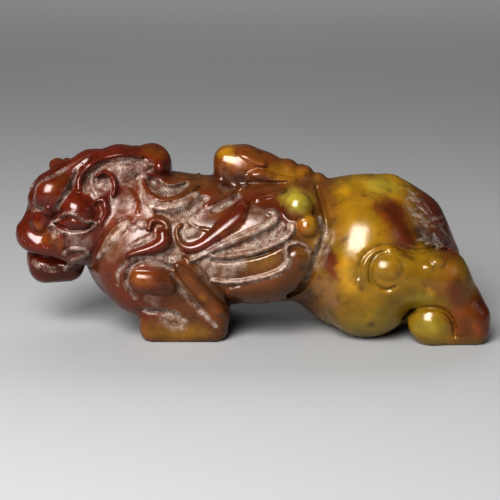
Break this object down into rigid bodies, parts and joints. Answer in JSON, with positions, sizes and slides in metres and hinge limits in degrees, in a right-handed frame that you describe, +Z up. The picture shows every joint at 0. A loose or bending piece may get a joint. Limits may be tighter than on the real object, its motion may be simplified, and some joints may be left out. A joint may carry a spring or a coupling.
{
  "type": "jade carving of a winged beast",
  "caption": "Crouching winged beast carved from one piece of brown and olive jade, with a curled crest, feathered flanks and a plume along its back.",
  "frame": {"origin": "middle of the carving's bounding box, on the plane of its four soles", "axes": "+Z up, +X from the head to the tail, +Y to the beast's right side"},
  "size_m": [0.0612, 0.0246, 0.0244],
  "materials": {
    "jade": "polished jade with frosted, tool-marked recesses"
  },
  "bodies": {
    "root": {"jade_beast": "jade"}
  },
  "joints": []
}
